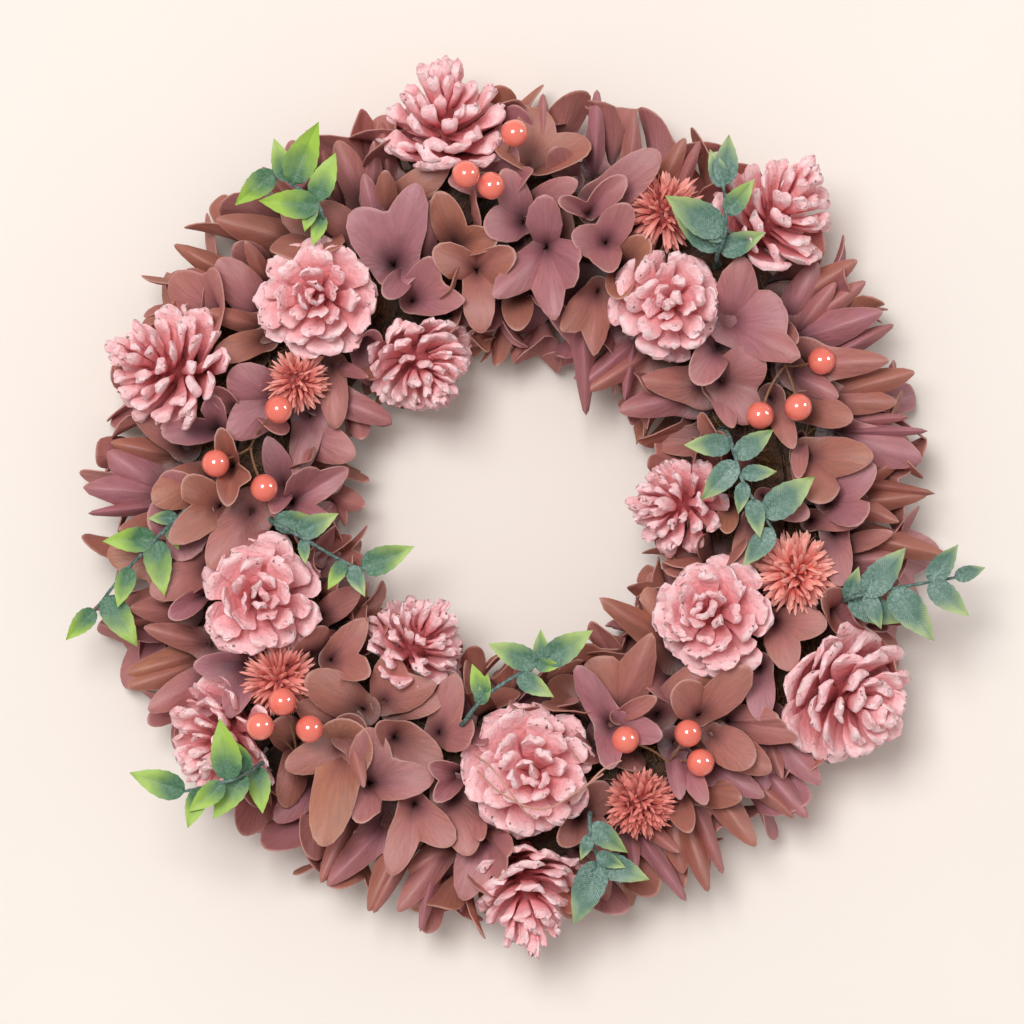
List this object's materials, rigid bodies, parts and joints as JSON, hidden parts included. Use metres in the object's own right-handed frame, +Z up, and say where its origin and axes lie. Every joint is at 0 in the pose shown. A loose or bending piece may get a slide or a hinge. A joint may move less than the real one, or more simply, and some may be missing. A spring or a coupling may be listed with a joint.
{
  "type": "christmas floral wreath",
  "caption": "Round wall wreath of curled petals with painted pine cones, dried flowers, berry picks and leafy sprigs on a flat-backed ring that hangs from a wire pin.",
  "frame": {"origin": "where the nail that the wreath hangs on enters the wall, behind the middle of the hanging pin's eye", "axes": "+Z up, the front faces -Y, and the back lies in the plane y = 0 against the wall"},
  "size_m": [0.372, 0.0806, 0.3673],
  "materials": {
    "straw": "rough straw and fibre",
    "wire": "bare wire",
    "petal": "thin dried petal, brown to dusty mauve",
    "cone_paint": "matt pink paint with pale tips",
    "coral_flower": "dried and dyed coral",
    "berry": "glossy coral",
    "leaf": "green with a frosted dusting and yellow-green tips"
  },
  "bodies": {
    "root": {"ring_base": "straw", "hanging_pin": "wire", "pine_cone_01": "cone_paint", "pine_cone_02": "cone_paint", "pine_cone_03": "cone_paint", "pine_cone_04": "cone_paint", "pine_cone_05": "cone_paint", "pine_cone_06": "cone_paint", "pine_cone_07": "cone_paint", "pine_cone_08": "cone_paint", "pine_cone_09": "cone_paint", "pine_cone_10": "cone_paint", "pine_cone_11": "cone_paint", "pine_cone_12": "cone_paint", "pine_cone_13": "cone_paint", "pine_cone_14": "cone_paint", "dried_flower_01": "coral_flower", "dried_flower_02": "coral_flower", "dried_flower_03": "coral_flower", "dried_flower_04": "coral_flower", "dried_flower_05": "coral_flower", "berry_pick_01": "berry", "berry_pick_02": "berry", "berry_pick_03": "berry", "berry_pick_04": "berry", "berry_pick_05": "berry", "leaf_sprig_01": "leaf", "leaf_sprig_02": "leaf", "leaf_sprig_03": "leaf", "leaf_sprig_04": "leaf", "leaf_sprig_05": "leaf", "leaf_sprig_06": "leaf", "leaf_sprig_07": "leaf", "leaf_sprig_08": "leaf", "leaf_sprig_09": "leaf", "petal_bunch_outer_01": "petal", "petal_bunch_outer_02": "petal", "petal_bunch_outer_03": "petal", "petal_bunch_outer_04": "petal", "petal_bunch_outer_05": "petal", "petal_bunch_outer_06": "petal", "petal_bunch_outer_07": "petal", "petal_bunch_outer_08": "petal", "petal_bunch_inner_01": "petal", "petal_bunch_inner_02": "petal", "petal_bunch_inner_03": "petal", "petal_bunch_inner_04": "petal", "petal_bunch_inner_05": "petal", "petal_bunch_inner_06": "petal", "petal_bunch_inner_07": "petal", "petal_bunch_inner_08": "petal"}
  },
  "joints": []
}
